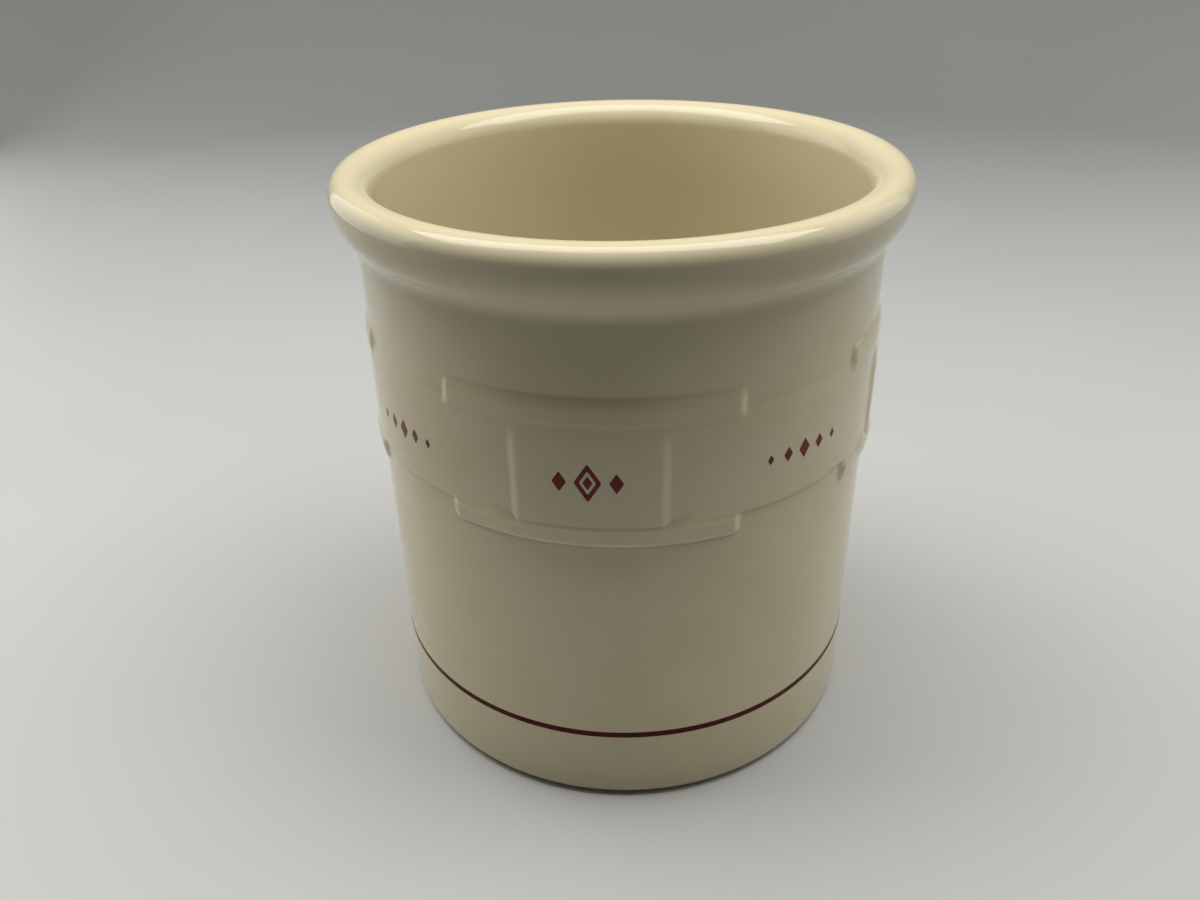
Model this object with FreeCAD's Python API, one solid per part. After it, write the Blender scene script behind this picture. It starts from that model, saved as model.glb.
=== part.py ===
import FreeCAD, Part
import math
import os

# Utensil crock: one stoneware casting with a rolled collar rim and a raised woven belt, and the fired-on
# transfers that decorate it. Millimetres; the crock stands on z = 0 with its axis on Z, and the middle of
# one woven panel faces -Y.

# Casting
HEIGHT = 171.5
WALL_RADIUS = 74.0
WALL_THICKNESS = 5.7
FLOOR_THICKNESS = 8.0
WELL_ROUND = 10.0

# Foot ring round a shallow recess
FOOT_EDGE_ROUND = 4.0
FOOT_RING_WIDTH = 9.0
FOOT_RECESS_DEPTH = 1.8
FOOT_RECESS_SLOPE = 2.4

# Collar rim: a tall roll that swells out of the wall and turns over into the well
COLLAR_HEIGHT = 17.0
COLLAR_OVERHANG = 6.0
LIP_ROUND = 4.8
COLLAR_COVE = 3.0

# Woven belt: tall panels with a raised middle block, and short segments between them
MODULE_COUNT = 4
PANEL_DEGREES = 60.0
BLOCK_DEGREES = 30.0
BELT_DROP = 28.9
BELT_HEIGHT = 27.9
TOP_RIDGE_HEIGHT = 7.8
LOW_RIDGE_HEIGHT = 6.3
LOW_BAND_HEIGHT = 5.8
SHORT_RISE = 3.0
FOOT_EDGE = 1.0
CREASE = 1.0
DIP_HEIGHT = 6.8
TOP_ROLL = 2.6
SHORT_ROLL = 4.5
ROLL_MIDDLE_SHARE = 0.75
END_SLOPE = 2.2
RELIEF_ROOT = 2.0
RELIEF_CLEARANCE = 1.0

# How far the belt's faces stand proud of the wall, and how far a block lifts its panel's face and ridges
FACE_PROUD = 0.85
TOP_RIDGE_PROUD = 1.1
LOW_RIDGE_PROUD = 1.25
LOW_RIDGE_FOOT_PROUD = 0.85
BLOCK_RISE = 0.85
BLOCK_TOP_RISE = 0.2
BLOCK_LOW_RISE = 0.6
BLOCK_OVERLAP = 0.3

# Transfers
TRANSFER_THICKNESS = 0.2
STRIPE_HEIGHT = 25.3
STRIPE_WIDTH = 2.0
PANEL_MOTIF_LIFT = 13.5
BELT_MOTIF_LIFT = 13.5
LOZENGE_WIDTH = 6.8
LOZENGE_HEIGHT = 11.0
LOZENGE_BORDER_SHARE = 0.62
LOZENGE_CORE_SHARE = 0.36
SIDE_LOZENGE_WIDTH = 3.6
SIDE_LOZENGE_HEIGHT = 5.8
SIDE_LOZENGE_PITCH = 7.0
ROW_PITCH = 5.6
ROW_LOZENGE_WIDTH = 3.8
ROW_LOZENGE_HEIGHT = 5.8
ROW_COUNT = 5
ROW_TAPER_SHARE = 0.5

# Most turn that one straight stretch of a round profile takes up
CHORD_DEGREES = 22.5

# Derived places
WELL_RADIUS = WALL_RADIUS - WALL_THICKNESS
RIM_RADIUS = WALL_RADIUS + COLLAR_OVERHANG
LIP_TOP_RADIUS = RIM_RADIUS - LIP_ROUND
WELL_LIP_ROUND = LIP_TOP_RADIUS - WELL_RADIUS
COLLAR_BASE = HEIGHT - COLLAR_HEIGHT
BELT_TOP = COLLAR_BASE - BELT_DROP
BELT_BOTTOM = BELT_TOP - BELT_HEIGHT
PANEL_TOP = BELT_TOP + TOP_RIDGE_HEIGHT
PANEL_BOTTOM = BELT_BOTTOM - LOW_RIDGE_HEIGHT
FACE_RADIUS = WALL_RADIUS + FACE_PROUD
BLOCK_RADIUS = FACE_RADIUS + BLOCK_RISE
FULL_TURN_DEGREES = 360.0
MODULE_DEGREES = FULL_TURN_DEGREES / MODULE_COUNT
SHORT_DEGREES = MODULE_DEGREES - PANEL_DEGREES

AXIS = FreeCAD.Vector(0, 0, 1)
ORIGIN = FreeCAD.Vector(0, 0, 0)


def at(radius, z):
    """A point of a turned profile."""
    return FreeCAD.Vector(radius, 0, z)


def line(start, end):
    """A straight edge."""
    return Part.makeLine(start, end)


def arc(start, through, end):
    """A round stretch through three points, as short edges that turn into plain cones."""
    curve = Part.Arc(start, through, end)
    turn = math.degrees(curve.LastParameter - curve.FirstParameter)
    chord_count = math.ceil(turn / CHORD_DEGREES)
    points = curve.discretize(chord_count + 1)
    return [line(first, second) for first, second in zip(points, points[1:])]


def quarter(centre, start, end):
    """A quarter-circle stretch about a centre, from start to end."""
    radius = (start - centre).Length
    middle = (start - centre) + (end - centre)
    middle.normalize()
    return arc(start, centre + middle * radius, end)


def turned(edges):
    """The solid that a closed profile makes when it is turned about the axis."""
    face = Part.Face(Part.Wire(edges))
    return face.revolve(ORIGIN, AXIS, FULL_TURN_DEGREES)


def repeated(shape, first_degrees):
    """Copies of a shape round the axis, one for each module of the belt."""
    copies = []
    for index in range(MODULE_COUNT):
        copy = shape.copy()
        copy.rotate(ORIGIN, AXIS, first_degrees + index * MODULE_DEGREES)
        copies.append(copy)
    return copies


def collar_outer_edges():
    """The collar's swelling side, upright where it meets the lip, and the cove that runs it into the wall."""
    rise = COLLAR_HEIGHT - LIP_ROUND
    swell_radius = (rise * rise + COLLAR_OVERHANG * COLLAR_OVERHANG) / (2 * COLLAR_OVERHANG)
    swell_centre = at(RIM_RADIUS - swell_radius, HEIGHT - LIP_ROUND)
    cove_radius = WALL_RADIUS + COLLAR_COVE
    across = cove_radius - swell_centre.x
    turn = math.acos(across / (swell_radius + COLLAR_COVE))
    cove_centre = at(cove_radius, swell_centre.z - across * math.tan(turn))
    swell_foot = swell_centre + at(math.cos(turn), -math.sin(turn)) * swell_radius
    swell_middle = swell_centre + at(math.cos(turn / 2), -math.sin(turn / 2)) * swell_radius
    cove_middle = cove_centre + at(-math.cos(turn / 2), math.sin(turn / 2)) * COLLAR_COVE
    wall_top = at(WALL_RADIUS, cove_centre.z)
    return [
        line(at(WALL_RADIUS, FOOT_EDGE_ROUND), wall_top),
        *arc(wall_top, cove_middle, swell_foot),
        *arc(swell_foot, swell_middle, at(RIM_RADIUS, HEIGHT - LIP_ROUND)),
    ]


def plain_casting():
    """The crock without its belt: foot ring, wall, collar, lip and well."""
    recess_radius = WALL_RADIUS - FOOT_EDGE_ROUND - FOOT_RING_WIDTH
    recess_top = at(recess_radius - FOOT_RECESS_SLOPE, FOOT_RECESS_DEPTH)
    foot_inner = at(recess_radius, 0)
    foot_outer = at(WALL_RADIUS - FOOT_EDGE_ROUND, 0)
    wall_foot = at(WALL_RADIUS, FOOT_EDGE_ROUND)
    lip_outer = at(RIM_RADIUS, HEIGHT - LIP_ROUND)
    lip_top = at(LIP_TOP_RADIUS, HEIGHT)
    lip_inner = at(WELL_RADIUS, HEIGHT - WELL_LIP_ROUND)
    well_foot = at(WELL_RADIUS, FLOOR_THICKNESS + WELL_ROUND)
    well_floor = at(WELL_RADIUS - WELL_ROUND, FLOOR_THICKNESS)
    edges = [
        line(at(0, FOOT_RECESS_DEPTH), recess_top),
        line(recess_top, foot_inner),
        line(foot_inner, foot_outer),
        *quarter(at(WALL_RADIUS - FOOT_EDGE_ROUND, FOOT_EDGE_ROUND), foot_outer, wall_foot),
        *collar_outer_edges(),
        *quarter(at(LIP_TOP_RADIUS, HEIGHT - LIP_ROUND), lip_outer, lip_top),
        *quarter(at(LIP_TOP_RADIUS, HEIGHT - WELL_LIP_ROUND), lip_top, lip_inner),
        line(lip_inner, well_foot),
        *quarter(at(WELL_RADIUS - WELL_ROUND, FLOOR_THICKNESS + WELL_ROUND), well_foot, well_floor),
        line(well_floor, at(0, FLOOR_THICKNESS)),
        line(at(0, FLOOR_THICKNESS), at(0, FOOT_RECESS_DEPTH)),
    ]
    return turned(edges)


def rolled(proud, low, high):
    """A top edge that rolls from a proud face, whose top is at low, back into the wall at high."""
    start = at(WALL_RADIUS + proud, low)
    middle = at(WALL_RADIUS + proud * ROLL_MIDDLE_SHARE, (low + high) / 2)
    return arc(start, middle, at(WALL_RADIUS, high))


def panel_ring(low_rise, face_rise, top_rise, overlap):
    """A ring with a panel's section: a low ridge that leans back to its foot, a face and a rolled top ridge.

    The rises lift the low ridge, the face and the top ridge above a panel's own, and a lifted face dips under
    the top ridge. Overlap makes the ring taller.
    """
    root = WALL_RADIUS - RELIEF_ROOT
    low = PANEL_BOTTOM - overlap
    high = PANEL_TOP + overlap
    low_band_top = PANEL_BOTTOM + LOW_BAND_HEIGHT
    top_proud = TOP_RIDGE_PROUD + top_rise
    points = [
        at(WALL_RADIUS, high),
        at(root, high),
        at(root, low),
        at(WALL_RADIUS, low),
        at(WALL_RADIUS + LOW_RIDGE_FOOT_PROUD + low_rise, PANEL_BOTTOM + FOOT_EDGE),
        at(WALL_RADIUS + LOW_RIDGE_PROUD + low_rise, low_band_top - CREASE),
        at(FACE_RADIUS + low_rise, low_band_top),
        at(FACE_RADIUS + face_rise, BELT_BOTTOM),
        at(FACE_RADIUS + face_rise, BELT_TOP - DIP_HEIGHT),
        at(FACE_RADIUS + top_rise, BELT_TOP),
        at(WALL_RADIUS + top_proud, BELT_TOP + CREASE),
        at(WALL_RADIUS + top_proud, PANEL_TOP - TOP_ROLL),
    ]
    return turned(Part.makePolygon(points).Edges + rolled(top_proud, PANEL_TOP - TOP_ROLL, high))


def short_ring():
    """A ring with a short segment's section: a plain foot, a face and a rolled top edge."""
    root = WALL_RADIUS - RELIEF_ROOT
    high = BELT_TOP + SHORT_RISE
    points = [
        at(WALL_RADIUS, high),
        at(root, high),
        at(root, BELT_BOTTOM),
        at(WALL_RADIUS, BELT_BOTTOM),
        at(FACE_RADIUS, BELT_BOTTOM + FOOT_EDGE),
        at(FACE_RADIUS, high - SHORT_ROLL),
    ]
    return turned(Part.makePolygon(points).Edges + rolled(FACE_PROUD, high - SHORT_ROLL, high))


def sector(half_degrees, end_slope, rise):
    """An upright prism about -Y whose two ends lean in by end_slope over a rise from the wall."""
    half = math.radians(half_degrees)
    outward = FreeCAD.Vector(math.sin(half), -math.cos(half), 0)
    inward = FreeCAD.Vector(-math.cos(half), -math.sin(half), 0)
    lean = outward + inward * (end_slope / rise)
    foot = outward * WALL_RADIUS
    root = foot - lean * (RELIEF_ROOT + RELIEF_CLEARANCE)
    top = foot + lean * (rise + RELIEF_CLEARANCE)
    far = top * (RIM_RADIUS / (WALL_RADIUS * math.cos(half)))
    right = [root, top, far]
    left = [FreeCAD.Vector(-point.x, point.y, 0) for point in reversed(right)]
    outline = Part.makePolygon(right + left + [root])
    prism = Part.Face(outline).extrude(AXIS * HEIGHT)
    return prism


def belt_pieces():
    """The belt's panels, raised blocks and short segments, each as a solid rooted in the wall."""
    slope_degrees = math.degrees(END_SLOPE / WALL_RADIUS)
    panel = panel_ring(0, 0, 0, 0).common(sector(PANEL_DEGREES / 2, END_SLOPE, TOP_RIDGE_PROUD))
    block_prism = sector(BLOCK_DEGREES / 2, END_SLOPE, FACE_PROUD + BLOCK_RISE)
    block_ring = panel_ring(BLOCK_LOW_RISE, BLOCK_RISE, BLOCK_TOP_RISE, BLOCK_OVERLAP)
    block = block_ring.common(block_prism)
    short = short_ring().common(sector(SHORT_DEGREES / 2 + slope_degrees, 0, FACE_PROUD))
    pieces = repeated(panel, 0)
    pieces += repeated(block, 0)
    pieces += repeated(short, MODULE_DEGREES / 2)
    return pieces


def crock_body():
    """The whole casting: the plain crock with its belt raised from the wall."""
    return plain_casting().fuse(belt_pieces()).removeSplitter()


def film(radius):
    """A thin fired-on layer over a round face, from the foot to the rim."""
    outer = Part.makeCylinder(radius + TRANSFER_THICKNESS, HEIGHT)
    return outer.cut(Part.makeCylinder(radius, HEIGHT))


def base_stripe():
    """The plain line round the foot of the wall."""
    low = FreeCAD.Vector(0, 0, STRIPE_HEIGHT - STRIPE_WIDTH / 2)
    outer = Part.makeCylinder(WALL_RADIUS + TRANSFER_THICKNESS, STRIPE_WIDTH, low)
    return outer.cut(Part.makeCylinder(WALL_RADIUS, STRIPE_WIDTH, low))


def lozenge(across, z, width, height):
    """A prism along Y with a lozenge outline, on the side that faces -Y."""
    front = -RIM_RADIUS
    points = [
        FreeCAD.Vector(across - width / 2, front, z),
        FreeCAD.Vector(across, front, z - height / 2),
        FreeCAD.Vector(across + width / 2, front, z),
        FreeCAD.Vector(across, front, z + height / 2),
    ]
    outline = Part.makePolygon(points + points[:1])
    return Part.Face(outline).extrude(FreeCAD.Vector(0, RIM_RADIUS, 0))


def panel_motif():
    """A bordered lozenge with a core, between two small ones, on a panel's raised block."""
    z = BELT_BOTTOM + PANEL_MOTIF_LIFT
    gap_width = LOZENGE_WIDTH * LOZENGE_BORDER_SHARE
    gap_height = LOZENGE_HEIGHT * LOZENGE_BORDER_SHARE
    core_width = LOZENGE_WIDTH * LOZENGE_CORE_SHARE
    core_height = LOZENGE_HEIGHT * LOZENGE_CORE_SHARE
    border = lozenge(0, z, LOZENGE_WIDTH, LOZENGE_HEIGHT).cut(lozenge(0, z, gap_width, gap_height))
    prisms = [border, lozenge(0, z, core_width, core_height)]
    for across in (-SIDE_LOZENGE_PITCH, SIDE_LOZENGE_PITCH):
        prisms.append(lozenge(across, z, SIDE_LOZENGE_WIDTH, SIDE_LOZENGE_HEIGHT))
    layer = film(BLOCK_RADIUS)
    return Part.makeCompound([solid for prism in prisms for solid in layer.common(prism).Solids])


def belt_motif():
    """A level row of lozenges that dwindle to both ends, on a short segment."""
    z = BELT_BOTTOM + BELT_MOTIF_LIFT
    layer = film(FACE_RADIUS)
    middle = (ROW_COUNT - 1) / 2
    solids = []
    for index in range(ROW_COUNT):
        offset = index - middle
        size_share = 1 - ROW_TAPER_SHARE * abs(offset) / middle
        width = ROW_LOZENGE_WIDTH * size_share
        height = ROW_LOZENGE_HEIGHT * size_share
        solids += layer.common(lozenge(offset * ROW_PITCH, z, width, height)).Solids
    return Part.makeCompound(solids)


def main():
    """Build each piece and write it to its own file."""
    nodes = {"crock_body": crock_body(), "base_stripe": base_stripe()}
    for index, motif in enumerate(repeated(panel_motif(), 0)):
        nodes[f"panel_motif_{index + 1}"] = motif
    for index, motif in enumerate(repeated(belt_motif(), MODULE_DEGREES / 2)):
        nodes[f"belt_motif_{index + 1}"] = motif
    os.makedirs("parts", exist_ok=True)
    for name, shape in nodes.items():
        shape.exportStep(f"parts/{name}.step")
        print(name, "solids", len(shape.Solids), "valid", shape.isValid(), "volume", round(shape.Volume, 2))


main()
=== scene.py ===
import logging
import math
from collections.abc import Sequence
from dataclasses import dataclass
from enum import Enum
from typing import Any

import bmesh
import bpy
from mathutils import Euler, Matrix, Vector


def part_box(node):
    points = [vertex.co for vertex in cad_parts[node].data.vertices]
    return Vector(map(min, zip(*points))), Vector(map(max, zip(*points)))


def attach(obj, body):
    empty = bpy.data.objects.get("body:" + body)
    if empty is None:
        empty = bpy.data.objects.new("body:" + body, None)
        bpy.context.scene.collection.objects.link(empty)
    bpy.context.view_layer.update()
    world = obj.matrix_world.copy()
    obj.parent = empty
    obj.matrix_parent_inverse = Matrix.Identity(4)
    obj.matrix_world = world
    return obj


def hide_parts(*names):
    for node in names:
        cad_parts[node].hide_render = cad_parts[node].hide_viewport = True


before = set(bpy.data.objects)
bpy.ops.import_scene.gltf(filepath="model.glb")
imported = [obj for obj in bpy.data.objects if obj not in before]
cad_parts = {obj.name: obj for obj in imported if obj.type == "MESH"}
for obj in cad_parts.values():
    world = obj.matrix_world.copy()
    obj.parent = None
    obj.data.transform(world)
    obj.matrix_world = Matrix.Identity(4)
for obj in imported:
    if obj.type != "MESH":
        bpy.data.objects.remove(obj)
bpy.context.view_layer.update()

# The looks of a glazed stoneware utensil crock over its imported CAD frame. Lengths are metres.
# The crock stands on z = 0 with its axis on Z, and the middle of one woven panel faces -Y.
# Angles round the crock start at -Y and grow towards +X.

MM = 0.001
ORIGIN = (0, 0, 0)
UPWARDS = (0, 0, 1)
FULL_TURN = 2 * math.pi
QUARTER_TURN = math.pi / 2
MERGE_DISTANCE = 0.001 * MM
SHARP_ANGLE = math.radians(30)
ROLL_POWER = 1.5
NOISE_MIDDLE = 0.5
LOZENGE_CORNERS = 4
UNIT_RADIUS = 0.5
LOG = logging.getLogger("utensil_crock")

Colour = tuple[float, float, float, float]
Span = tuple[float, float]


class Node(Enum):
    """CAD nodes, or families of them, that the dressed pieces stand for."""

    BODY = "crock_body"
    STRIPE = "base_stripe"
    PANEL_MOTIF = "panel_motif"
    BELT_MOTIF = "belt_motif"


class Slot(Enum):
    """Material slots of the record."""

    GLAZE = "ivory_glaze"
    TRANSFER = "burgundy_transfer"


def smoothstep(low: float, high: float, place: float) -> float:
    """A soft step.

    Args:
        low: Where the step starts.
        high: Where the step ends.
        place: Where it is read.

    Returns:
        0 below low, 1 above high and an S-shaped rise between them.
    """
    share = min(1.0, max(0.0, (place - low) / (high - low)))
    return share * share * (3 - 2 * share)


def around(radius: float, angle: float, z: float) -> Vector:
    """A point at a radius, an angle from -Y towards +X and a height."""
    return Vector((radius * math.sin(angle), -radius * math.cos(angle), z))


class Sock:
    """A shader socket that takes part in Python arithmetic, adding Math nodes as it goes."""

    def __init__(self, tree: "ShaderTree", socket: bpy.types.NodeSocket) -> None:
        """Keep an output socket and the tree that it belongs to."""
        self.tree = tree
        self.socket = socket

    def _math(self, operation: str, first: Any, second: Any) -> "Sock":
        """The result of a Math node on two values or sockets."""
        return self.tree.node("ShaderNodeMath", {"operation": operation}, {0: first, 1: second})

    def __add__(self, other: Any) -> "Sock":
        """self + other."""
        return self._math("ADD", self, other)

    def __radd__(self, other: Any) -> "Sock":
        """other + self."""
        return self._math("ADD", other, self)

    def __sub__(self, other: Any) -> "Sock":
        """self - other."""
        return self._math("SUBTRACT", self, other)

    def __rsub__(self, other: Any) -> "Sock":
        """other - self."""
        return self._math("SUBTRACT", other, self)

    def __mul__(self, other: Any) -> "Sock":
        """self * other."""
        return self._math("MULTIPLY", self, other)

    def __rmul__(self, other: Any) -> "Sock":
        """other * self."""
        return self._math("MULTIPLY", other, self)

    def step(self, low: float, high: float) -> "Sock":
        """A soft step of this value, from 0 at low to 1 at high."""
        settings = {"interpolation_type": "SMOOTHSTEP"}
        inputs = {"Value": self, "From Min": low, "From Max": high}
        return self.tree.node("ShaderNodeMapRange", settings, inputs)


class ShaderTree:
    """The node tree of one new material."""

    def __init__(self, name: str) -> None:
        """Start an empty material."""
        self.material = bpy.data.materials.new(name)
        self.material.use_nodes = True
        self.nodes = self.material.node_tree.nodes
        self.links = self.material.node_tree.links
        self.nodes.clear()

    @staticmethod
    def _socket(sockets: Any, key: str | int) -> bpy.types.NodeSocket:
        """Find a socket.

        Args:
            sockets: A node's inputs or outputs.
            key: The socket's identifier, name or index.

        Returns:
            The socket.
        """
        if isinstance(key, int):
            return sockets[key]
        named = [socket for socket in sockets if socket.identifier == key]
        return named[0] if named else sockets[key]

    def node(
        self,
        kind: str,
        settings: dict[str, Any],
        inputs: dict[str | int, Any],
        output: str | int = 0,
    ) -> Sock:
        """Add a node.

        Args:
            kind: The node's type.
            settings: Its own properties, which are set first.
            inputs: Values or sockets for its inputs, by identifier, name or index.
            output: Which of its outputs to return.

        Returns:
            The chosen output.
        """
        made = self.nodes.new(kind)
        for name, value in settings.items():
            setattr(made, name, value)
        for key, value in inputs.items():
            socket = self._socket(made.inputs, key)
            if isinstance(value, Sock):
                self.links.new(value.socket, socket)
            else:
                socket.default_value = value
        return Sock(self, self._socket(made.outputs, output))

    def place(self) -> Sock:
        """The place on the piece, in the crock's own frame."""
        return self.node("ShaderNodeTexCoord", {}, {}, "Object")

    def height(self) -> Sock:
        """The height above the table."""
        return self.node("ShaderNodeSeparateXYZ", {}, {0: self.place()}, "Z")

    def from_middle(self) -> Sock:
        """The distance from the middle of the piece's own frame."""
        return self.node("ShaderNodeVectorMath", {"operation": "LENGTH"}, {0: self.place()}, "Value")

    def noise(self, feature: float, detail: float = 2.0, roughness: float = 0.5) -> Sock:
        """Cloudy noise from 0 to 1 whose features are about the given size across."""
        inputs = {"Vector": self.place(), "Scale": 1 / feature, "Detail": detail, "Roughness": roughness}
        return self.node("ShaderNodeTexNoise", {}, inputs, "Fac")

    def spots(self, spacing: float) -> Sock:
        """The distance to the nearest of many scattered points, in metres."""
        inputs = {"Vector": self.place(), "Scale": 1 / spacing}
        return self.node("ShaderNodeTexVoronoi", {}, inputs, "Distance") * spacing

    def attribute(self, name: str) -> Sock:
        """A value that the piece's mesh carries."""
        return self.node("ShaderNodeAttribute", {"attribute_name": name}, {}, "Fac")

    def ray(self, kind: str) -> Sock:
        """Whether a surface is met by a kind of ray."""
        return self.node("ShaderNodeLightPath", {}, {}, f"Is {kind} Ray")

    def mix(self, share: Any, first: Any, second: Any) -> Sock:
        """Two colours mixed by a share of the second."""
        inputs = {"Factor_Float": share, "A_Color": first, "B_Color": second}
        return self.node("ShaderNodeMix", {"data_type": "RGBA"}, inputs, "Result_Color")

    def bump(self, relief: Sock) -> Sock:
        """The normal of a surface with a relief in metres."""
        return self.node("ShaderNodeBump", {}, {"Strength": 1.0, "Distance": 1.0, "Height": relief})

    def finish(self, sockets: dict[str | int, Any]) -> bpy.types.Material:
        """Close the tree with a Principled shader.

        Args:
            sockets: Values or sockets for the shader's inputs.

        Returns:
            The finished material.
        """
        shader = self.node("ShaderNodeBsdfPrincipled", {}, sockets)
        self.node_output(shader)
        return self.material

    def node_output(self, shader: Sock) -> None:
        """Link a shader to the material's output."""
        made = self.nodes.new("ShaderNodeOutputMaterial")
        self.links.new(shader.socket, made.inputs["Surface"])


@dataclass(frozen=True)
class GlazeFinish:
    """Glossy ivory glaze over stoneware, with a bare foot ring.

    The glaze clouds slightly, breaks warmer where it runs thin, and has a few pinholes. Painted shade
    darkens the belt's creases and pockets and the well.
    """

    ivory: Colour = (0.80, 0.715, 0.475, 1.0)
    cloud: Colour = (0.76, 0.67, 0.425, 1.0)
    thin: Colour = (0.82, 0.71, 0.455, 1.0)
    # painted shade for the creases along the belt's ridges and the pockets beside its blocks
    crease_shade: Colour = (0.70, 0.61, 0.385, 1.0)
    # painted shade, darker deeper down the well
    well: Colour = (0.73, 0.65, 0.445, 1.0)
    clay: Colour = (0.60, 0.49, 0.35, 1.0)
    pinhole: Colour = (0.34, 0.27, 0.18, 1.0)
    cloud_size: float = 30 * MM
    cloud_detail: float = 3.0
    cloud_span: Span = (0.35, 0.75)
    smear_size: float = 15 * MM
    smear_detail: float = 4.0
    smear_grit: float = 0.6
    smear_span: Span = (0.4, 0.8)
    ripple_size: float = 14 * MM
    ripple_detail: float = 1.0
    ripple_depth: float = 0.03 * MM
    grain_size: float = 0.7 * MM
    grain_depth: float = 0.10 * MM
    pinhole_spacing: float = 21 * MM
    pinhole_radius: float = 0.45 * MM
    pinhole_depth: float = 0.12 * MM
    pinhole_strength: float = 0.7
    bare_height: float = 0.9 * MM
    bare_edge: float = 0.5 * MM
    gloss_roughness: float = 0.07
    smear_roughness: float = 0.07
    clay_roughness: float = 0.75
    refraction: float = 1.48

    def material(self) -> bpy.types.Material:
        """Make the glaze.

        Returns:
            The finished material.
        """
        tree = ShaderTree("ivory_glaze")
        clouds = tree.noise(self.cloud_size, self.cloud_detail)
        smears = tree.noise(self.smear_size, self.smear_detail, self.smear_grit)
        grain = tree.noise(self.grain_size)
        ragged = tree.height() + (grain - NOISE_MIDDLE) * self.bare_edge
        glazed = ragged.step(self.bare_height - self.bare_edge, self.bare_height + self.bare_edge)
        bare = 1 - glazed
        spots = tree.spots(self.pinhole_spacing)
        pinholes = 1 - spots.step(self.pinhole_radius / 2, self.pinhole_radius)
        colour = tree.mix(clouds.step(*self.cloud_span), self.ivory, self.cloud)
        colour = tree.mix(tree.attribute("thin_glaze"), colour, self.thin)
        # painted shade in the belt's creases and pockets
        colour = tree.mix(tree.attribute("painted_crease_shade"), colour, self.crease_shade)
        # painted shade down the well
        colour = tree.mix(tree.attribute("painted_well_shade"), colour, self.well)
        colour = tree.mix(pinholes * self.pinhole_strength, colour, self.pinhole)
        colour = tree.mix(bare, colour, self.clay)
        gloss = self.gloss_roughness + smears.step(*self.smear_span) * self.smear_roughness
        roughness = gloss + bare * (self.clay_roughness - self.gloss_roughness)
        ripple = tree.noise(self.ripple_size, self.ripple_detail) * self.ripple_depth
        relief = ripple - pinholes * self.pinhole_depth + bare * grain * self.grain_depth
        look = {"Base Color": colour, "Roughness": roughness, "Normal": tree.bump(relief)}
        return tree.finish({**look, "IOR": self.refraction})


@dataclass(frozen=True)
class TransferFinish:
    """Burgundy enamel fired on, a little uneven in density and with less gloss than the glaze."""

    name: str = "burgundy_transfer"
    thin: Colour = (0.24, 0.026, 0.034, 1.0)
    deep: Colour = (0.17, 0.017, 0.022, 1.0)
    specular: float = 0.15
    fade_size: float = 2.6 * MM
    fade_detail: float = 3.0
    fade_grit: float = 0.6
    fade_span: Span = (0.3, 0.7)
    grain_size: float = 0.35 * MM
    grain_depth: float = 0.006 * MM
    gloss_roughness: float = 0.12
    grain_roughness: float = 0.10

    def material(self) -> bpy.types.Material:
        """Make the enamel.

        Returns:
            The finished material.
        """
        tree = ShaderTree(self.name)
        fade = tree.noise(self.fade_size, self.fade_detail, self.fade_grit)
        grain = tree.noise(self.grain_size)
        colour = tree.mix(fade.step(*self.fade_span), self.thin, self.deep)
        roughness = self.gloss_roughness + grain * self.grain_roughness
        normal = tree.bump(grain * self.grain_depth)
        look = {"Base Color": colour, "Roughness": roughness, "Normal": normal}
        return tree.finish({**look, "Specular IOR Level": self.specular})


@dataclass(frozen=True)
class LineFinish(TransferFinish):
    """The darker and duller maroon of the banded line."""

    name: str = "maroon_line"
    thin: Colour = (0.12, 0.018, 0.017, 1.0)
    deep: Colour = (0.08, 0.011, 0.011, 1.0)
    specular: float = 0.05


@dataclass(frozen=True)
class StageFinish:
    """Plain pale studio board, which throws light back at the crock from a ring round its foot.

    Attributes:
        pale: The board as it is seen and mirrored, at its palest.
        shade: The same at its darkest.
        foot_bounce: How much light it throws back beside the foot.
        near_bounce: The same in the ring.
        far_bounce: The same further out.
        foot_reach: Where the ring starts to brighten.
        ring_reach: Where the ring is at its full brightness.
        near_reach: Where the ring starts to fade.
        far_reach: Where it has faded.
        cloud_size: The size of the board's faint clouds.
        cloud_detail: How finely they are broken up.
        board_roughness: Its roughness.
    """

    pale: Colour = (0.66, 0.66, 0.63, 1.0)
    shade: Colour = (0.60, 0.60, 0.58, 1.0)
    foot_bounce: Colour = (0.42, 0.42, 0.4, 1.0)
    near_bounce: Colour = (0.71, 0.71, 0.675, 1.0)
    far_bounce: Colour = (0.06, 0.06, 0.058, 1.0)
    foot_reach: float = 100 * MM
    ring_reach: float = 170 * MM
    near_reach: float = 230 * MM
    far_reach: float = 320 * MM
    cloud_size: float = 180 * MM
    cloud_detail: float = 3.0
    board_roughness: float = 0.55

    def material(self) -> bpy.types.Material:
        """Make the board.

        Returns:
            The finished material.
        """
        tree = ShaderTree("studio_board")
        clouds = tree.noise(self.cloud_size, self.cloud_detail)
        board = tree.mix(clouds, self.pale, self.shade)
        seen = tree.ray("Camera") + tree.ray("Glossy") + tree.ray("Transmission")
        distance = tree.from_middle()
        off_foot = distance.step(self.foot_reach, self.ring_reach)
        near = tree.mix(off_foot, self.foot_bounce, self.near_bounce)
        off_ring = distance.step(self.near_reach, self.far_reach)
        bounce = tree.mix(off_ring, near, self.far_bounce)
        colour = tree.mix(seen, bounce, board)
        return tree.finish({"Base Color": colour, "Roughness": self.board_roughness})


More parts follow.
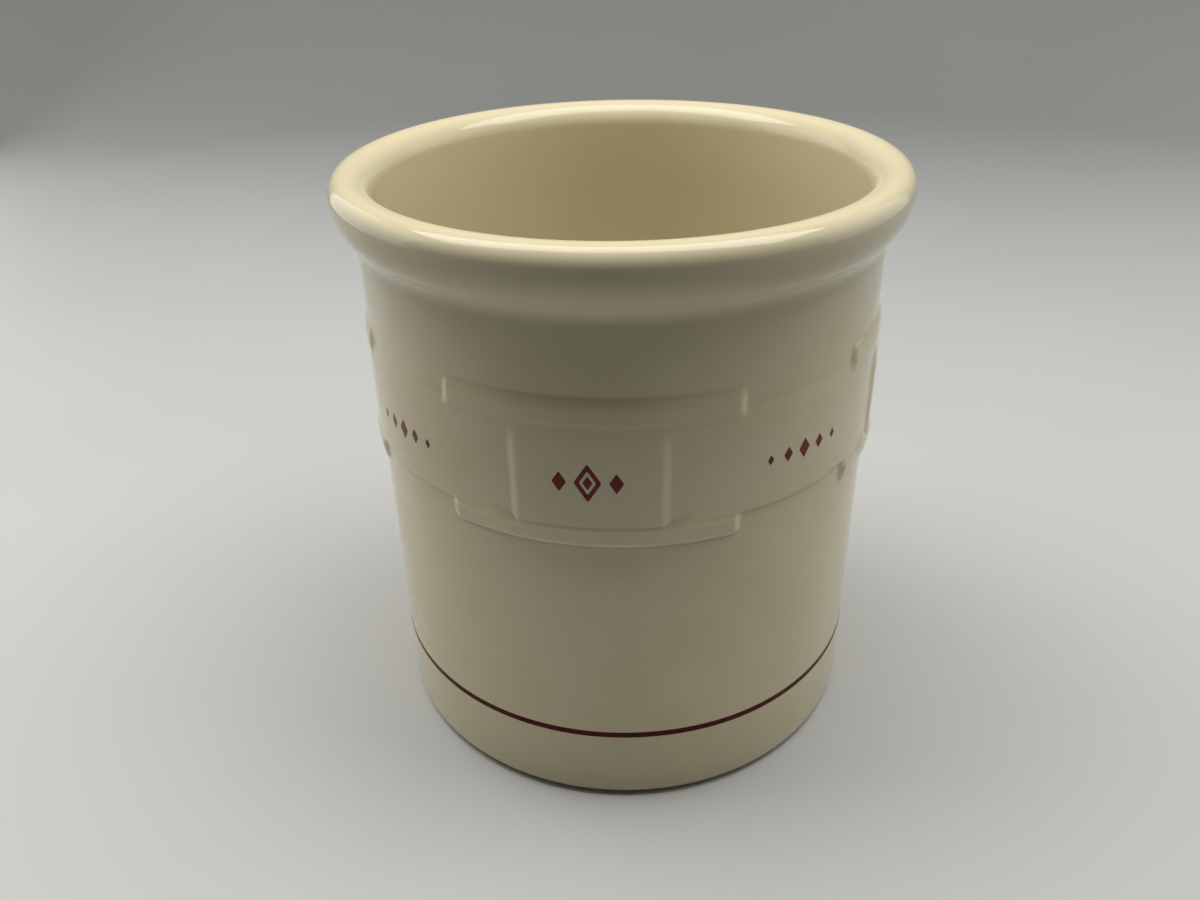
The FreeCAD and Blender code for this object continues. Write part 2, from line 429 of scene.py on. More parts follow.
class Lathe:
    """Draws a turned outline edge by edge and turns it about the Z axis."""

    def __init__(self, radius: float, z: float) -> None:
        """Start the outline at a radius and a height."""
        self.mesh = bmesh.new()
        self.tip = self.mesh.verts.new((radius, 0, z))

    def run(self, radius: float, z: float, parts: int = 1) -> None:
        """Draw a straight run.

        Args:
            radius: The radius at which it ends.
            z: The height at which it ends.
            parts: How many equal edges it has.
        """
        start = self.tip.co.copy()
        end = Vector((radius, 0, z))
        for index in range(parts):
            self.tip = bmesh.ops.extrude_vert_indiv(self.mesh, verts=[self.tip])["verts"][0]
            self.tip.co = start.lerp(end, (index + 1) / parts)

    def turn(self, radius: float, z: float, angle: float, parts: int) -> None:
        """Draw a round stretch.

        Args:
            radius: The radius at which its centre lies.
            z: The height of its centre.
            angle: How far it turns, positive from outwards to upwards.
            parts: How many edges it has.
        """
        turn = {"axis": (0, -1, 0), "angle": angle, "steps": parts}
        made = bmesh.ops.spin(self.mesh, geom=[self.tip], cent=(radius, 0, z), **turn)
        self.tip = [item for item in made["geom_last"] if isinstance(item, bmesh.types.BMVert)][0]

    def sweep(self, stretches: Sequence[tuple[float, int]]) -> bmesh.types.BMesh:
        """Turn the outline part of the way about the Z axis.

        Args:
            stretches: The angle and the number of steps of each stretch in turn.

        Returns:
            The open mesh.
        """
        ring = list(self.mesh.verts) + list(self.mesh.edges)
        for angle, steps in stretches:
            turn = {"axis": UPWARDS, "angle": angle, "steps": steps}
            made = bmesh.ops.spin(self.mesh, geom=ring, cent=ORIGIN, **turn)
            ring = made["geom_last"]
        return self.mesh

    def spin(self, steps: int) -> bmesh.types.BMesh:
        """Turn the outline fully about the Z axis.

        Args:
            steps: How many equal steps the turn has.

        Returns:
            The closed mesh.
        """
        ring = list(self.mesh.verts) + list(self.mesh.edges)
        turn = {"axis": UPWARDS, "angle": FULL_TURN, "steps": steps, "use_merge": True}
        bmesh.ops.spin(self.mesh, geom=ring, cent=ORIGIN, **turn)
        close(self.mesh)
        return self.mesh


def close(mesh: bmesh.types.BMesh) -> None:
    """Merge a mesh's seams and poles and turn its faces outwards."""
    bmesh.ops.remove_doubles(mesh, verts=mesh.verts, dist=MERGE_DISTANCE)
    bmesh.ops.recalc_face_normals(mesh, faces=mesh.faces)


def piece_from(mesh: bmesh.types.BMesh, name: str, material: bpy.types.Material) -> bpy.types.Object:
    """Make a smooth-shaded object of a mesh.

    Args:
        mesh: The finished bmesh, which is freed.
        name: The piece's name.
        material: Its finish.

    Returns:
        The object, linked into the scene.
    """
    mesh.normal_update()
    for face in mesh.faces:
        face.smooth = True
    for edge in mesh.edges:
        edge.smooth = edge.calc_face_angle(0) < SHARP_ANGLE
    data = bpy.data.meshes.new(name)
    mesh.to_mesh(data)
    mesh.free()
    data.materials.append(material)
    made = bpy.data.objects.new(name, data)
    bpy.context.scene.collection.objects.link(made)
    return made


def dress(made: bpy.types.Object, nodes: Sequence[str]) -> None:
    """Tie a piece to the CAD frame.

    Args:
        made: The piece.
        nodes: The CAD nodes that it stands for.
    """
    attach(made, "root")
    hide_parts(*nodes)
    LOG.info("%s: %d faces, stands for %s", made.name, len(made.data.polygons), ", ".join(nodes))


class Edge(Enum):
    """How one level of the belt's section runs into the next."""

    SOFT = "soft"
    STRAIGHT = "straight"
    ROLLED = "rolled"


@dataclass(frozen=True)
class Terrace:
    """One step in the section of the belt, from below upwards.

    Attributes:
        start: The height at which the step starts.
        width: How tall it is.
        proud: How far the section stands out of the wall above it.
        edge: A soft S, a straight lean, or a rolled edge, which is round at its prouder level and
            crisp at its foot.
    """

    start: float
    width: float
    proud: float
    edge: Edge = Edge.ROLLED


def section(terraces: Sequence[Terrace], z: float) -> float:
    """Read a section of steps at a height.

    Args:
        terraces: The section's steps, from below upwards.
        z: The height.

    Returns:
        How far the section stands out of the wall there.
    """
    proud = 0.0
    below = 0.0
    for terrace in terraces:
        share = min(1.0, max(0.0, (z - terrace.start) / terrace.width))
        if terrace.edge is Edge.SOFT:
            share = smoothstep(0.0, 1.0, share)
        elif terrace.edge is Edge.ROLLED and terrace.proud > below:
            share = 1 - (1 - share) ** ROLL_POWER
        elif terrace.edge is Edge.ROLLED:
            share = share**ROLL_POWER
        proud += (terrace.proud - below) * share
        below = terrace.proud
    return proud


@dataclass(frozen=True)
class WovenBelt:
    """The raised belt: tall panels with a raised middle block, and short segments between them.

    A panel has a ridge along its top and its foot. Its block dips under the top ridge, and both
    ridges bend out over the block, as splints of a basket do. Beside the block the low ridge's bend
    leaves a shallow pocket.
    """

    wall_radius: float
    top: float
    height: float = 27.9 * MM
    module_count: int = 4
    panel_turn: float = math.radians(59.4)
    block_turn: float = math.radians(29.6)
    end_width: float = 3.0 * MM
    block_edge_width: float = 2.9 * MM
    ridge_bend_width: float = 10.0 * MM
    corner_round: float = 2.6 * MM
    top_ridge_height: float = 7.8 * MM
    low_ridge_height: float = 6.3 * MM
    short_rise: float = 3.0 * MM
    short_slope: float = 4.5 * MM
    top_slope: float = 3.0 * MM
    top_roll: float = 1.8 * MM
    dip_height: float = 6.8 * MM
    low_band_height: float = 6.1 * MM
    foot_edge: float = 1.3 * MM
    crease: float = 1.1 * MM
    pocket_height: float = 2.6 * MM
    face_proud: float = 0.8 * MM
    top_ridge_foot_proud: float = 1.05 * MM
    top_ridge_proud: float = 0.9 * MM
    low_ridge_foot_proud: float = 0.8 * MM
    low_ridge_proud: float = 1.35 * MM
    block_rise: float = 0.75 * MM
    top_ridge_lift: float = 0.1 * MM
    low_ridge_lift: float = 0.55 * MM
    # how much less painted shade a crease takes over a ridge than under it
    upper_shade_share: float = 0.6

    @property
    def bottom(self) -> float:
        """The height of the short segments' foot."""
        return self.top - self.height

    @property
    def panel_bottom(self) -> float:
        """The height of the panels' foot."""
        return self.bottom - self.low_ridge_height

    @property
    def panel_top(self) -> float:
        """The height of the panels' top edge."""
        return self.top + self.top_ridge_height

    @property
    def low_band_top(self) -> float:
        """The height of the low ridge's upper edge."""
        return self.panel_bottom + self.low_band_height

    @property
    def low_end(self) -> float:
        """A height just under the belt."""
        return self.panel_bottom - self.crease

    @property
    def high_end(self) -> float:
        """A height just over the belt."""
        return self.panel_top + self.crease

    @property
    def block_half(self) -> float:
        """The distance from a panel's middle to its block's edge."""
        return self.block_turn * self.wall_radius / 2

    def beside_block(self, across: float) -> float:
        """A share of the low ridge's bend beside the block, from 0 at its ends to 1 in its middle."""
        past = (across - self.block_half) / self.ridge_bend_width
        return max(0.0, 1 - (2 * past - 1) ** 2)

    def ledge_height(self, across: float) -> float:
        """How tall the low ridge's upper edge is, which opens to a pocket beside the block."""
        return self.crease + self.pocket_height * self.beside_block(across)

    def pocket_shade(self, angle: float, z: float) -> float:
        """Read how much painted shade a pocket beside a block takes.

        Args:
            angle: The angle round the crock.
            z: The height.

        Returns:
            A share from 0 at the low ridge's crest to 1 under the pocket's upper rim.
        """
        across = self.from_panel(angle)
        up = (z - self.low_band_top + self.crease) / self.ledge_height(across)
        return up * math.sqrt(self.beside_block(across)) if 0 < up < 1 else 0.0

    def panel_section(self, across: float, z: float) -> float:
        """Read a panel's section without its block.

        Args:
            across: The distance from the panel's middle.
            z: The height.

        Returns:
            How far the panel stands out of the wall.
        """
        low_foot = self.panel_bottom + self.foot_edge
        low_crest = self.low_band_top - self.crease
        top_foot = self.top + self.top_roll
        top_crest = self.panel_top - self.top_slope
        terraces = (
            Terrace(self.panel_bottom, self.foot_edge, self.low_ridge_foot_proud),
            Terrace(low_foot, low_crest - low_foot, self.low_ridge_proud, Edge.STRAIGHT),
            Terrace(low_crest, self.ledge_height(across), self.face_proud),
            Terrace(self.top, self.top_roll, self.top_ridge_foot_proud),
            Terrace(top_foot, top_crest - top_foot, self.top_ridge_proud, Edge.STRAIGHT),
            Terrace(top_crest, self.top_slope, 0.0),
        )
        return section(terraces, z)

    def block_section(self, z: float) -> float:
        """Read the section of a block and of the ridges that bend out over it.

        Args:
            z: The height.

        Returns:
            How far they rise over their panel.
        """
        terraces = (
            Terrace(self.panel_bottom, self.foot_edge, self.low_ridge_lift),
            Terrace(self.low_band_top, self.crease, self.block_rise, Edge.SOFT),
            Terrace(self.top - self.dip_height, self.dip_height, self.top_ridge_lift, Edge.SOFT),
            Terrace(self.panel_top - self.top_slope, self.top_slope, 0.0),
        )
        return section(terraces, z)

    def short_section(self, z: float) -> float:
        """Read a short segment's section.

        Args:
            z: The height.

        Returns:
            How far the segment stands out of the wall.
        """
        terraces = (
            Terrace(self.bottom, self.foot_edge, self.face_proud),
            Terrace(self.top + self.short_rise - self.short_slope, self.short_slope, 0.0),
        )
        return section(terraces, z)

    def off_block(self, across: float, z: float) -> float:
        """How far a place lies off the block, from 0 on it to 1 beside it.

        Args:
            across: The distance from the panel's middle.
            z: The height.

        Returns:
            A soft step, which is wider where a ridge bends out over the block.
        """
        half_edge = self.block_edge_width / 2
        edge_start = self.block_half - half_edge
        off_face = smoothstep(edge_start, self.block_half + half_edge, across)
        off_bend = smoothstep(edge_start, self.block_half + self.ridge_bend_width, across)
        low_crest = self.low_band_top - self.crease
        on_low_ridge = smoothstep(low_crest + self.ledge_height(across), low_crest, z)
        on_top_ridge = smoothstep(self.top, self.top + self.top_roll, z)
        on_ridge = max(on_low_ridge, on_top_ridge)
        return off_face + (off_bend - off_face) * on_ridge

    def from_panel(self, angle: float) -> float:
        """Measure along the wall from the middle of the nearest panel.

        Args:
            angle: The angle round the crock.

        Returns:
            The distance.
        """
        module = FULL_TURN / self.module_count
        turn = angle - module * round(angle / module)
        return abs(turn) * self.wall_radius

    def corner_drop(self, across: float) -> float:
        """Read how far a panel's rounded corner has fallen off.

        Args:
            across: The distance from the panel's middle.

        Returns:
            The fall from the panel's straight edge.
        """
        end = (self.panel_turn * self.wall_radius + self.end_width) / 2
        past = min(max(across - end + self.corner_round, 0.0), self.corner_round)
        return self.corner_round - math.sqrt(self.corner_round**2 - past**2)

    def proud(self, angle: float, z: float) -> float:
        """How far the belt stands out of the wall.

        Args:
            angle: The angle round the crock.
            z: The height.

        Returns:
            The distance from the wall's round face.
        """
        across = self.from_panel(angle)
        panel_half = self.panel_turn * self.wall_radius / 2
        off_panel = smoothstep(panel_half - self.end_width / 2, panel_half + self.end_width / 2, across)
        middle = self.bottom + self.height / 2
        drop = math.copysign(self.corner_drop(across), z - middle)
        on_block = 1 - self.off_block(across, z)
        panel = self.panel_section(across, z + drop) + self.block_section(z) * on_block
        return panel * (1 - off_panel) + self.short_section(z) * off_panel

    def crest(self, angle: float, z: float) -> float:
        """Read how far a place stands over its surroundings, which is where glaze runs thin.

        Args:
            angle: The angle round the crock.
            z: The height.

        Returns:
            The height of the place over the mean of four places round it.
        """
        reach = self.crease
        turn = reach / self.wall_radius
        beside = self.proud(angle - turn, z) + self.proud(angle + turn, z)
        upright = self.proud(angle, z - reach) + self.proud(angle, z + reach)
        return self.proud(angle, z) - (beside + upright) / 4

    def crease_depth(self, angle: float, z: float) -> float:
        """Read how deep a place lies in a corner along a ridge, which is where shade is painted.

        Args:
            angle: The angle round the crock.
            z: The height.

        Returns:
            The depth, which counts less over a ridge than under it.
        """
        below = self.proud(angle, z - self.crease)
        above = self.proud(angle, z + self.crease)
        depth = (above + below) / 2 - self.proud(angle, z)
        return depth if above > below else depth * self.upper_shade_share


@dataclass(frozen=True)
class CastingRows:
    """How many rows of faces each stretch of the casting's outline has, from the recess to the well."""

    recess: int = 5
    recess_slope: int = 2
    foot_ring: int = 3
    foot_edge: int = 8
    wall: int = 8
    belt: int = 88
    neck: int = 2
    collar_cove: int = 12
    collar_swell: int = 12
    lip: int = 10
    lip_inside: int = 12
    well: int = 8
    well_round: int = 9
    well_floor: int = 6


@dataclass(frozen=True)
class CrockBody:
    """The stoneware casting: foot ring, wall, woven belt, collar rim and well."""

    height: float
    rim_radius: float
    collar_overhang: float = 6.0 * MM
    collar_height: float = 17.0 * MM
    collar_swell: float = 15.0 * MM
    collar_cove: float = 7.5 * MM
    lip_round: float = 4.8 * MM
    belt_drop: float = 28.9 * MM
    wall_thickness: float = 5.7 * MM
    floor_thickness: float = 8.0 * MM
    well_round: float = 10.0 * MM
    foot_edge_round: float = 4.0 * MM
    foot_ring_width: float = 9.0 * MM
    foot_recess_depth: float = 1.8 * MM
    foot_recess_slope: float = 2.4 * MM
    rows: CastingRows = CastingRows()
    crest_scale: float = 0.35 * MM
    # the crease depth at which the painted shade is full
    crease_shade_scale: float = 0.2 * MM
    window: float = math.radians(4.0)
    window_steps: int = 18
    open_step: float = math.radians(1.4)

    @property
    def wall_radius(self) -> float:
        """The radius of the plain wall."""
        return self.rim_radius - self.collar_overhang

    @property
    def belt(self) -> WovenBelt:
        """The raised belt on the wall."""
        return WovenBelt(self.wall_radius, self.height - self.collar_height - self.belt_drop)

    def outline(self) -> Lathe:
        """Draw the outline of the casting.

        Returns:
            The outline, from the middle of the recess round to the middle of the well.
        """
        foot_outer = self.wall_radius - self.foot_edge_round
        foot_inner = foot_outer - self.foot_ring_width
        well_radius = self.wall_radius - self.wall_thickness
        lip_radius = self.rim_radius - self.lip_round
        lip_base = self.height - self.lip_round
        inner_round = lip_radius - well_radius
        across = self.wall_radius + self.collar_cove - (self.rim_radius - self.collar_swell)
        swell_turn = math.acos(across / (self.collar_swell + self.collar_cove))
        cove_z = lip_base - across * math.tan(swell_turn)
        well_base = self.floor_thickness + self.well_round
        rows = self.rows
        lathe = Lathe(0, self.foot_recess_depth)
        lathe.run(foot_inner - self.foot_recess_slope, self.foot_recess_depth, rows.recess)
        lathe.run(foot_inner, 0, rows.recess_slope)
        lathe.run(foot_outer, 0, rows.foot_ring)
        lathe.turn(foot_outer, self.foot_edge_round, QUARTER_TURN, rows.foot_edge)
        lathe.run(self.wall_radius, self.belt.low_end, rows.wall)
        lathe.run(self.wall_radius, self.belt.high_end, rows.belt)
        lathe.run(self.wall_radius, cove_z, rows.neck)
        lathe.turn(self.wall_radius + self.collar_cove, cove_z, -swell_turn, rows.collar_cove)
        lathe.turn(self.rim_radius - self.collar_swell, lip_base, swell_turn, rows.collar_swell)
        lathe.turn(lip_radius, lip_base, QUARTER_TURN, rows.lip)
        lathe.turn(lip_radius, self.height - inner_round, QUARTER_TURN, rows.lip_inside)
        lathe.run(well_radius, well_base, rows.well)
        lathe.turn(well_radius - self.well_round, well_base, -QUARTER_TURN, rows.well_round)
        lathe.run(0, self.floor_thickness, rows.well_floor)
        return lathe

    def stretches(self) -> list[tuple[float, int]]:
        """Share out the turn of one module, with steps close together at the belt's upright edges.

        Returns:
            The angle and the number of steps of each stretch, from one panel's middle to the next's.
        """
        belt = self.belt
        half_module = math.pi / belt.module_count
        edges = (belt.block_turn / 2, belt.panel_turn / 2)
        half = []
        reached = 0.0
        for edge in edges:
            half.append((edge - self.window / 2 - reached, 0))
            half.append((self.window, self.window_steps))
            reached = edge + self.window / 2
        half.append((half_module - reached, 0))
        half = [(turn, steps or math.ceil(turn / self.open_step)) for turn, steps in half]
        return half + half[::-1]

    def raise_belt(self, mesh: bmesh.types.BMesh) -> None:
        """Move the wall's rows out to the belt's relief and note where the glaze runs thin and where
        shade is painted.

        Args:
            mesh: The turned casting, still without relief.
        """
        belt = self.belt
        thin = mesh.verts.layers.float.new("thin_glaze")
        # painted shade in the belt's creases and pockets
        crease_shade = mesh.verts.layers.float.new("painted_crease_shade")
        # painted shade down the well
        well = mesh.verts.layers.float.new("painted_well_shade")
        inner_limit = self.wall_radius - self.wall_thickness / 2
        for vert in mesh.verts:
            radius = math.hypot(vert.co.x, vert.co.y)
            z = vert.co.z
            vert[thin] = smoothstep(self.height - self.lip_round / 2, self.height, z)
            if radius < inner_limit:
                # painted shade grows from the rim down into the well
                vert[well] = smoothstep(self.height, self.height - self.collar_height, z)
            elif belt.low_end < z < belt.high_end:
                angle = math.atan2(vert.co.x, -vert.co.y)
                vert.co = around(radius + belt.proud(angle, z), angle, z)
                vert[thin] = min(1.0, max(0.0, belt.crest(angle, z) / self.crest_scale))
                # painted shade in the creases along the ridges and in the pockets beside the blocks
                crease = belt.crease_depth(angle, z) / self.crease_shade_scale
                vert[crease_shade] = min(1.0, max(belt.pocket_shade(angle, z), crease))

    def build(self, material: bpy.types.Material) -> bpy.types.Object:
        """Make the casting.

        Args:
            material: Its finish.

        Returns:
            The finished piece.
        """
        mesh = self.outline().sweep(self.stretches())
        self.raise_belt(mesh)
        copies = self.belt.module_count - 1
        module = list(mesh.verts) + list(mesh.edges) + list(mesh.faces)
        copied_turn = FULL_TURN * copies / self.belt.module_count
        turn = {"axis": UPWARDS, "angle": copied_turn, "steps": copies, "use_duplicate": True}
        bmesh.ops.spin(mesh, geom=module, cent=ORIGIN, **turn)
        close(mesh)
        made = piece_from(mesh, "crock_casting", material)
        dress(made, [Node.BODY.value])
        return made


@dataclass(frozen=True)
class BaseStripe:
    """The plain band line round the foot of the wall, laid by hand on a wheel."""

    wall_radius: float
    middle: float
    width: float = 2.0 * MM
    bury: float = 0.15 * MM
    lift: float = 0.05 * MM
    edge: float = 0.1 * MM
    waver: float = 0.07 * MM
    waver_turns: tuple[int, ...] = (3, 7, 11)
    face_rows: int = 3
    steps: int = 240

    def wavering(self, angle: float) -> float:
        """How far the line has wandered off level at an angle."""
        waves = [math.sin(turns * angle + turns) for turns in self.waver_turns]
        return self.waver * sum(waves) / len(waves)

    def build(self, material: bpy.types.Material) -> bpy.types.Object:
        """Make the stripe.

        Args:
            material: Its finish.

        Returns:
            The finished piece.
        """
        low = self.middle - self.width / 2
        high = self.middle + self.width / 2
        root = self.wall_radius - self.bury
        face = self.wall_radius + self.lift
        lathe = Lathe(root, low)
        lathe.run(self.wall_radius, low)
        lathe.run(face, low + self.edge)
        lathe.run(face, high - self.edge, self.face_rows)
        lathe.run(self.wall_radius, high)
        lathe.run(root, high)
        lathe.run(root, low)
        mesh = lathe.spin(self.steps)
        for vert in mesh.verts:
            vert.co.z += self.wavering(math.atan2(vert.co.x, -vert.co.y))
        made = piece_from(mesh, "base_stripe_line", material)
        dress(made, [Node.STRIPE.value])
        return made


@dataclass(frozen=True)
class Lozenge:
    """A lozenge with softened corners.

    Attributes:
        across: How far its middle lies from the motif's middle.
        width: Its width.
        height: Its height.
        hollow_share: The size of the gap inside its border, or 0 where it is solid.
        core_share: The size of the core inside that gap.
    """

    across: float
    width: float
    height: float
    hollow_share: float = 0.0
    core_share: float = 0.0


@dataclass(frozen=True)
class PanelDesign:
    """A bordered lozenge with a core, between two small ones."""

    width: float = 6.8 * MM
    height: float = 11.0 * MM
    hollow_share: float = 0.62
    core_share: float = 0.36
    side_width: float = 3.6 * MM
    side_height: float = 5.8 * MM
    side_pitch: float = 7.0 * MM

    def lozenges(self) -> tuple[Lozenge, ...]:
        """Lay out one motif.

        Returns:
            Its lozenges, from left to right.
        """
        return (
            Lozenge(-self.side_pitch, self.side_width, self.side_height),
            Lozenge(0, self.width, self.height, self.hollow_share, self.core_share),
            Lozenge(self.side_pitch, self.side_width, self.side_height),
        )


@dataclass(frozen=True)
class RowDesign:
    """A level row of lozenges that dwindle from its middle to both ends."""

    count: int = 5
    pitch: float = 5.6 * MM
    width: float = 3.8 * MM
    height: float = 5.8 * MM
    taper_share: float = 0.5

    def lozenges(self) -> tuple[Lozenge, ...]:
        """Lay out one motif.

        Returns:
            Its lozenges, from left to right.
        """
        middle = (self.count - 1) / 2
        row = []
        for index in range(self.count):
            offset = index - middle
            size = 1 - self.taper_share * abs(offset) / middle
            row.append(Lozenge(offset * self.pitch, self.width * size, self.height * size))
        return tuple(row)


@dataclass(frozen=True)
class Motif:
    """A fired-on transfer that follows the belt's relief."""

    node: Node
    belt: WovenBelt
    first_angle: float
    lozenges: tuple[Lozenge, ...]
    middle: float = 13.5 * MM
    corner_share: float = 0.09
    corner_segments: int = 4
    strip: float = 0.8 * MM
    thickness: float = 0.2 * MM
    lift: float = 0.05 * MM

    def flat_lozenge(self, mesh: bmesh.types.BMesh, lozenge: Lozenge) -> None:
        """Draw one lozenge on the plane z = 0, with its corners rounded.

        Args:
            mesh: The empty mesh that takes it.
            lozenge: Its sizes.
        """
        square = {"segments": LOZENGE_CORNERS, "radius": UNIT_RADIUS, "cap_ends": True}
        corners = bmesh.ops.create_circle(mesh, **square)["verts"]
        bmesh.ops.scale(mesh, vec=(lozenge.width, lozenge.height, 1), verts=corners)
        bmesh.ops.bevel(
            mesh,
            geom=corners,
            offset=lozenge.width * self.corner_share,
            segments=self.corner_segments,
            profile=0.5,
            affect="VERTICES",
            material=-1,
        )
        if lozenge.hollow_share:
            core = mesh.faces[:][0]
            self.draw_in(mesh, core, lozenge.hollow_share)
            gap = self.draw_in(mesh, core, lozenge.core_share / lozenge.hollow_share)
            bmesh.ops.delete(mesh, geom=gap, context="FACES")

    @staticmethod
    def draw_in(
        mesh: bmesh.types.BMesh, core: bmesh.types.BMFace, share: float
    ) -> list[bmesh.types.BMFace]:
        """Inset a face so that it keeps its shape.

        Args:
            mesh: The flat mesh, centred on the origin.
            core: The face to draw in.
            share: Its new size as a share of the old.

        Returns:
            The faces of the ring that it leaves.
        """
        ring = bmesh.ops.inset_region(mesh, faces=[core], thickness=0, use_boundary=True)["faces"]
        bmesh.ops.scale(mesh, vec=(share, share, 1), verts=core.verts[:])
        return ring

    def wrapped(self, angle: float) -> bmesh.types.BMesh:
        """Wrap the motif's film onto the relief.

        Args:
            angle: The angle round the crock of the motif's middle.

        Returns:
            The closed mesh.
        """
        film = bmesh.new()
        upright = Matrix.Rotation(QUARTER_TURN, 4, "X")
        for lozenge in self.lozenges:
            part = bmesh.new()
            self.flat_lozenge(part, lozenge)
            placed = Matrix.Translation((lozenge.across, 0, 0)) @ upright
            bmesh.ops.transform(part, matrix=placed, verts=part.verts)
            held = bpy.data.meshes.new("lozenge")
            part.to_mesh(held)
            part.free()
            film.from_mesh(held)
            bpy.data.meshes.remove(held)
        reach = max(abs(lozenge.across) + lozenge.width for lozenge in self.lozenges)
        for index in range(math.ceil(-reach / self.strip), math.ceil(reach / self.strip)):
            geometry = list(film.verts) + list(film.edges) + list(film.faces)
            cut = (index * self.strip, 0, 0)
            bmesh.ops.bisect_plane(film, geom=geometry, plane_co=cut, plane_no=(1, 0, 0))
        made = bmesh.ops.extrude_face_region(film, geom=list(film.faces), use_keep_orig=True)
        back = [item for item in made["geom"] if isinstance(item, bmesh.types.BMVert)]
        bmesh.ops.translate(film, vec=(0, self.thickness, 0), verts=back)
        for vert in film.verts:
            place = angle + vert.co.x / self.belt.wall_radius
            z = self.belt.bottom + self.middle + vert.co.z
            radius = self.belt.wall_radius + self.belt.proud(place, z) + self.lift - vert.co.y
            vert.co = around(radius, place, z)
        bmesh.ops.recalc_face_normals(film, faces=film.faces)
        return film

    def build(self, material: bpy.types.Material) -> list[bpy.types.Object]:
        """Make one motif for each module of the belt.

        Args:
            material: Their finish.

        Returns:
            The finished pieces.
        """
        made = []
        for index in range(self.belt.module_count):
            angle = self.first_angle + index * FULL_TURN / self.belt.module_count
            name = f"{self.node.value}_{index + 1}"
            piece = piece_from(self.wrapped(angle), f"{name}_film", material)
            dress(piece, [name])
            made.append(piece)
        return made


@dataclass(frozen=True)
class Softbox:
    """A large soft lamp.

    Attributes:
        name: The lamp's name.
        place: Where its middle is.
        aim: The point that it faces.
        width: Its width.
        height: Its height.
        power: Its power in watts.
    """

    name: str
    place: tuple[float, float, float]
    aim: tuple[float, float, float]
    width: float
    height: float
    power: float

    def build(self) -> bpy.types.Object:
        """Add the lamp to the scene.

        Returns:
            The lamp.
        """
        data = bpy.data.lights.new(self.name, "AREA")
        data.shape = "RECTANGLE"
        data.size = self.width
        data.size_y = self.height
        data.energy = self.power
        lamp = bpy.data.objects.new(self.name, data)
        lamp.location = self.place
        towards = Vector(self.aim) - Vector(self.place)
        lamp.rotation_euler = towards.to_track_quat("-Z", "Y").to_euler()
        lamp.visible_camera = False
        bpy.context.scene.collection.objects.link(lamp)
        LOG.info("%s: %.1f W", self.name, self.power)
        return lamp


@dataclass(frozen=True)
class Studio:
    """A pale round sweep under and behind the crock, soft lamps and a dim surround."""

    floor_radius: float = 1.3
    sweep_round: float = 0.4
    wall_height: float = 1.2
    floor_rows: int = 6
    sweep_rows: int = 12
    wall_rows: int = 3
    steps: int = 96
    surround: float = 0.075
    surround_colour: Colour = (1.0, 1.0, 1.0, 1.0)
    lamps: tuple[Softbox, ...] = (
        Softbox("overhead_softbox", (0.0, 0.036, 0.85), (0.0, 0.036, 0.0), 1.4, 0.48, 8.8),
        Softbox("left_softbox", (-0.72, 0.22, 0.38), (0.0, 0.22, 0.38), 0.85, 0.7, 1.9),
        Softbox("right_softbox", (0.72, 0.32, 0.38), (0.0, 0.32, 0.38), 0.85, 0.7, 1.2),
    )

    def build(self, material: bpy.types.Material) -> bpy.types.Object:
        """Make the sweep, the lamps and the world.

        Args:
            material: The sweep's finish.

        Returns:
            The sweep.
        """
        flat_radius = self.floor_radius - self.sweep_round
        lathe = Lathe(0, 0)
        lathe.run(flat_radius, 0, self.floor_rows)
        lathe.turn(flat_radius, self.sweep_round, QUARTER_TURN, self.sweep_rows)
        lathe.run(self.floor_radius, self.wall_height, self.wall_rows)
        mesh = lathe.spin(self.steps)
        bmesh.ops.reverse_faces(mesh, faces=mesh.faces)
        sweep = piece_from(mesh, "studio_sweep", material)
        for lamp in self.lamps:
            lamp.build()
        world = bpy.data.worlds.new("studio_surround")
        world.use_nodes = True
        background = world.node_tree.nodes["Background"]
        background.inputs["Strength"].default_value = self.surround
        background.inputs["Color"].default_value = self.surround_colour
        bpy.context.scene.world = world
        return sweep


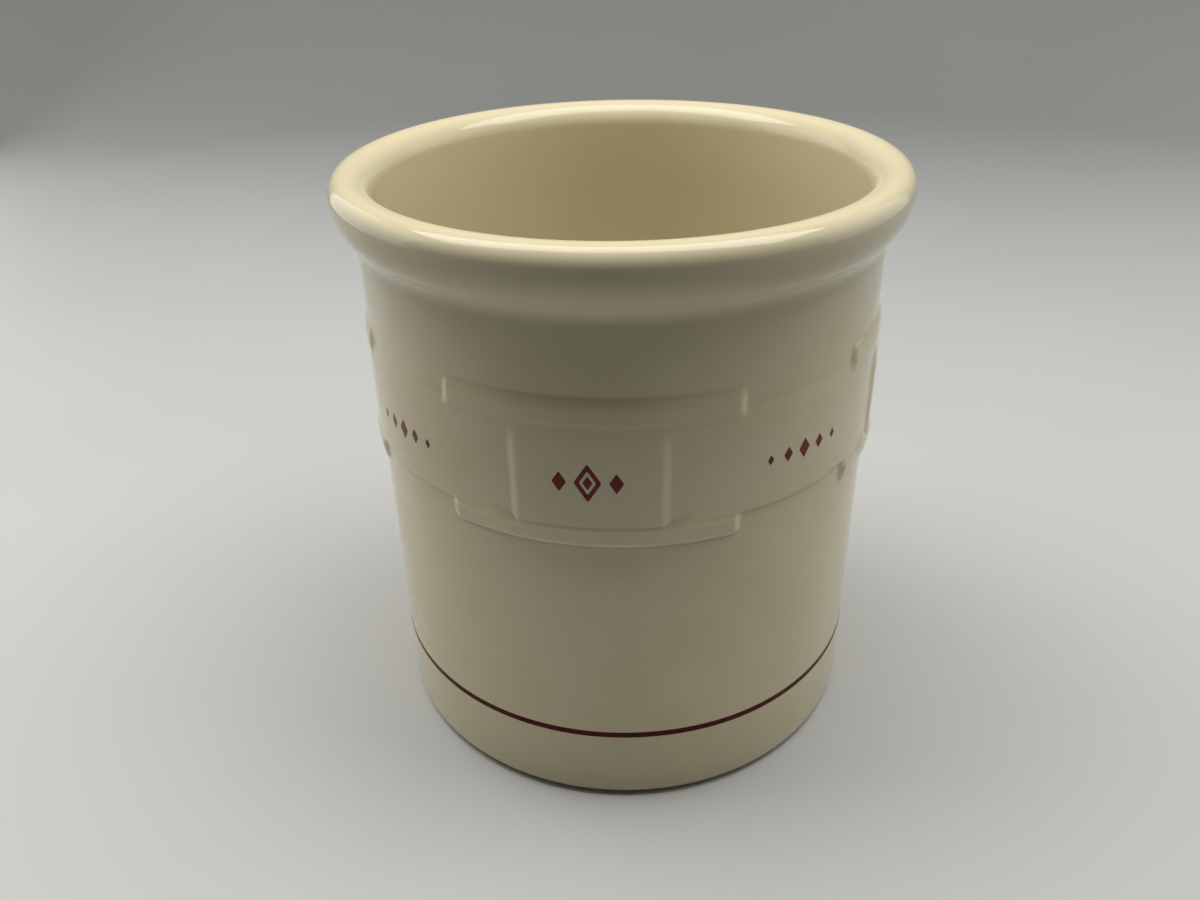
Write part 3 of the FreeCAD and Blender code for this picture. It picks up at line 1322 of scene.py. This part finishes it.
@dataclass(frozen=True)
class PhotoCamera:
    """The camera at the photograph's place.

    Attributes:
        place: Where it stands, in the crock's frame.
        heading: How far it looks to the left of +Y.
        down: How far it looks down.
        roll: How far it leans, clockwise where negative.
        focal_pixels: Its focal length in pixels of the photograph.
        frame_pixels: The photograph's width in pixels.
        nearest: How close to it a thing may be and still be seen.
    """

    place: tuple[float, float, float] = (32.25 * MM, -278.71 * MM, 240.2 * MM)
    heading: float = math.radians(8.113)
    down: float = math.radians(30.197)
    roll: float = math.radians(-1.324)
    focal_pixels: float = 1000.0
    frame_pixels: float = 1200.0
    nearest: float = 10 * MM

    def build(self) -> bpy.types.Object:
        """Add the camera to the scene and make it the scene's own.

        Returns:
            The camera.
        """
        data = bpy.data.cameras.new("photo_camera")
        data.lens = data.sensor_width * self.focal_pixels / self.frame_pixels
        data.clip_start = self.nearest
        camera = bpy.data.objects.new("photo_camera", data)
        camera.location = self.place
        tilt = Euler((QUARTER_TURN - self.down, 0, 0)).to_matrix()
        turn = Matrix.Rotation(self.heading, 3, "Z")
        lean = Matrix.Rotation(self.roll, 3, "Z")
        camera.rotation_euler = (turn @ tilt @ lean).to_euler()
        bpy.context.scene.collection.objects.link(camera)
        bpy.context.scene.camera = camera
        return camera


def main() -> None:
    """Build the camera, the studio and the crock."""
    logging.basicConfig(level=logging.INFO, format="%(name)s %(message)s")
    PhotoCamera().build()
    Studio().build(StageFinish().material())
    low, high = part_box(Node.BODY.value)
    stripe_low, stripe_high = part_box(Node.STRIPE.value)
    glaze = GlazeFinish().material()
    burgundy = TransferFinish().material()
    maroon = LineFinish().material()
    crock = CrockBody(height=high.z, rim_radius=(high.x - low.x) / 2)
    crock.build(glaze)
    BaseStripe(crock.wall_radius, (stripe_low.z + stripe_high.z) / 2).build(maroon)
    half_module = math.pi / crock.belt.module_count
    Motif(Node.PANEL_MOTIF, crock.belt, 0, PanelDesign().lozenges()).build(burgundy)
    Motif(Node.BELT_MOTIF, crock.belt, half_module, RowDesign().lozenges()).build(burgundy)
    bpy.context.scene.view_settings.view_transform = "Standard"


if __name__ == "__main__":
    main()
